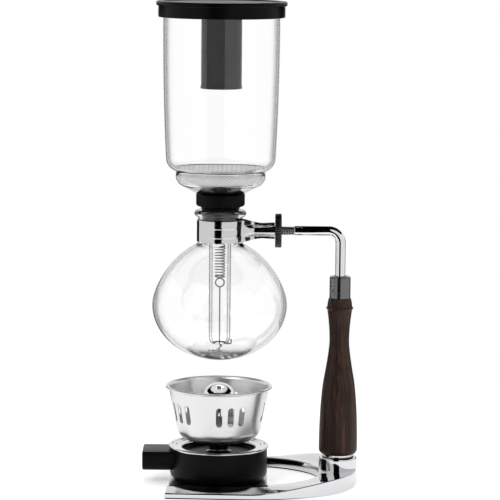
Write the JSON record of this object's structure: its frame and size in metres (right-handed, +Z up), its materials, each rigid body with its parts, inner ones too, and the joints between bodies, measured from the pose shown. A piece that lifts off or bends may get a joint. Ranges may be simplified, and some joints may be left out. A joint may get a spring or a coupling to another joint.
{
  "type": "siphon coffee maker",
  "caption": "Vacuum coffee siphon: glass chamber plugged into a globe flask, clamped to a post on a horseshoe base over a burner.",
  "frame": {"origin": "on the standing plane, under the axis of the wooden handle", "axes": "+Z up, +X from the glass towards the handle, so -Y faces the viewer with the handle on the right"},
  "size_m": [0.1599, 0.132, 0.3573],
  "materials": {
    "chrome_casting": "chrome-plated zinc casting, polished",
    "chrome_rod": "chrome-plated steel rod, polished",
    "polished_band": "polished stainless strip",
    "polished_dish": "pressed and polished steel",
    "chrome_cap": "mirror-polished dome",
    "satin_steel": "satin stainless, spun",
    "sheet_steel": "plain sheet steel",
    "dark_steel": "dark nickel, satin",
    "spring_wire": "drawn stainless wire",
    "brass": "turned brass",
    "black_plastic": "moulded, satin black",
    "grey_plastic": "moulded, dark grey",
    "black_rubber": "matte black rubber",
    "clear_glass": "clear borosilicate, fire polished",
    "wood": "turned wenge, oiled",
    "filter_cloth": "cotton twill",
    "cotton_wick": "braided cotton"
  },
  "bodies": {
    "stand": {"base_frame": "chrome_casting", "base_pad": "black_rubber", "base_tray": "sheet_steel", "tray_screws": "dark_steel", "base_bolt": "dark_steel", "base_washer": "sheet_steel", "wooden_handle": "wood", "ferrule": "dark_steel", "support_arm": "chrome_rod"},
    "thumb_nut": {"thumb_nut": "dark_steel"},
    "flask": {"flask_glass": "clear_glass", "clamp_band": "polished_band"},
    "chamber": {"upper_chamber": "clear_glass", "rubber_stopper": "black_rubber", "hook_wire": "spring_wire", "bead_chain": "spring_wire"},
    "filter": {"filter_plate": "sheet_steel", "filter_cloth": "filter_cloth", "filter_nut": "dark_steel", "filter_spring": "spring_wire"},
    "lid": {"lid_cap": "black_plastic", "stand_tube": "grey_plastic"},
    "burner": {"burner_housing": "black_plastic", "fuel_tank": "sheet_steel", "tank_top": "polished_dish", "burner_neck": "black_plastic", "wick_tube": "brass", "wick": "cotton_wick"},
    "wind_bowl": {"wind_bowl": "satin_steel"},
    "snuffer_cap": {"snuffer_cap": "chrome_cap"}
  },
  "joints": [
    {"name": "nut_turn", "type": "hinge", "parent": "stand", "child": "thumb_nut", "pos_m": [-0.0461, 0, 0.1888], "axis": [1, 0, 0], "continuous": true},
    {"name": "flask_draw", "type": "slide", "parent": "stand", "child": "flask", "axis": [-1, 0, 0], "range_m": [0, 0.05]},
    {"name": "chamber_lift", "type": "slide", "parent": "flask", "child": "chamber", "axis": [0, 0, 1], "range_m": [0, 0.12]},
    {"name": "filter_lift", "type": "slide", "parent": "chamber", "child": "filter", "axis": [0, 0, 1], "range_m": [0, 0.012], "stiffness_N_per_m": 120, "springref_m": -0.02, "deforming": ["filter_spring"]},
    {"name": "lid_lift", "type": "slide", "parent": "chamber", "child": "lid", "axis": [0, 0, 1], "range_m": [0, 0.07]},
    {"name": "burner_draw", "type": "slide", "parent": "stand", "child": "burner", "axis": [-1, 0, 0], "range_m": [0, 0.1]},
    {"name": "bowl_lift", "type": "slide", "parent": "burner", "child": "wind_bowl", "axis": [0, 0, 1], "range_m": [0, 0.015]},
    {"name": "cap_lift", "type": "slide", "parent": "burner", "child": "snuffer_cap", "axis": [0, 0, 1], "range_m": [0, 0.015]}
  ]
}
